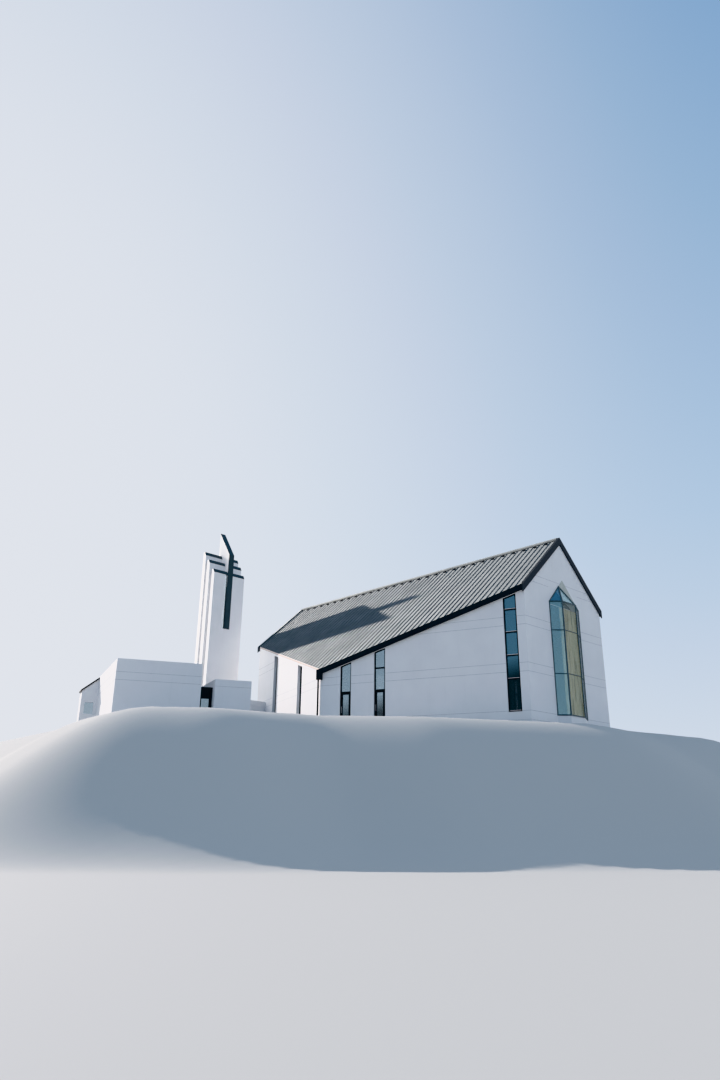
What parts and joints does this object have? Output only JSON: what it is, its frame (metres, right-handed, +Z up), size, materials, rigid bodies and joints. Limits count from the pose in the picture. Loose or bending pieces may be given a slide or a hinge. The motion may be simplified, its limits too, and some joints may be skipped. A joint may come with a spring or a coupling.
{
  "type": "modern church building with a bell tower",
  "caption": "White modern church: tall hexagonal nave under a steep seamed metal roof, folded glass bay in the gable, low flat wing with the entrance, slab bell tower with a fin and cross.",
  "frame": {"origin": "on the ground under the middle of the front gable wall", "axes": "+Z up, +Y along the ridge from the front gable to the rear gable, +X to the right seen from the front"},
  "size_m": [30.3264, 34.1152, 20.76],
  "materials": {
    "white_concrete": "white painted cast concrete, matt",
    "dark_frame": "dark satin paint",
    "roof_metal": "standing seam sheet, satin",
    "black_metal": "black satin paint",
    "window_glass": "clear glazing that mirrors the sky",
    "curtain_cloth": "beige woven cloth in upright folds",
    "floor_concrete": "plain concrete"
  },
  "bodies": {
    "building": {"back_arm": "dark_frame", "bay_curtain": "curtain_cloth", "bay_frame": "dark_frame", "bay_glass": "window_glass", "bay_head_panel": "roof_metal", "cross_glass": "window_glass", "curtain_rail": "dark_frame", "entrance_frame": "dark_frame", "front_gable": "white_concrete", "front_left_wall": "white_concrete", "front_right_wall": "white_concrete", "front_verge": "black_metal", "lean_to_roof": "black_metal", "lean_to_walls": "white_concrete", "lean_to_window": "window_glass", "left_downpipe": "black_metal", "left_front_window": "dark_frame", "left_gutter": "black_metal", "left_knee_slot": "dark_frame", "left_middle_window": "dark_frame", "left_rear_slot": "dark_frame", "left_rear_window": "dark_frame", "low_hall_floor": "floor_concrete", "low_hall_roof": "roof_metal", "low_hall_walls": "white_concrete", "meeting_block_floor": "floor_concrete", "meeting_block_roof": "roof_metal", "meeting_block_walls": "white_concrete", "middle_arm": "dark_frame", "nave_floor": "floor_concrete", "porch_fascia": "dark_frame", "porch_floor": "floor_concrete", "porch_roof": "roof_metal", "rear_gable": "white_concrete", "rear_left_wall": "white_concrete", "rear_right_wall": "white_concrete", "rear_verge": "black_metal", "ridge_cap": "roof_metal", "right_downpipe": "black_metal", "right_front_window": "dark_frame", "right_gutter": "black_metal", "right_knee_slot": "dark_frame", "right_middle_window": "dark_frame", "right_rear_slot": "dark_frame", "right_rear_window": "dark_frame", "roof_left_slope": "roof_metal", "roof_right_slope": "roof_metal", "tower_back_slab": "white_concrete", "tower_cross": "dark_frame", "tower_fin": "white_concrete", "tower_front_slab": "white_concrete", "tower_middle_slab": "white_concrete"},
    "entrance_leaf": {"entrance_door": "dark_frame"},
    "middle_side_leaf": {"middle_side_door": "dark_frame"},
    "rear_side_leaf": {"rear_side_door": "dark_frame"}
  },
  "joints": [
    {"name": "entrance_hinge", "type": "hinge", "parent": "building", "child": "entrance_leaf", "pos_m": [-14.48702, 19.37862, 1.7], "axis": [0, 0, 1], "range_deg": [0, 90]},
    {"name": "middle_side_hinge", "type": "hinge", "parent": "building", "child": "middle_side_leaf", "pos_m": [-7.76187, 9.02854, 1.7], "axis": [0, 0, 1], "range_deg": [0, 90]},
    {"name": "rear_side_hinge", "type": "hinge", "parent": "building", "child": "rear_side_leaf", "pos_m": [-8.606, 11.44537, 1.7], "axis": [0, 0, 1], "range_deg": [0, 90]}
  ]
}
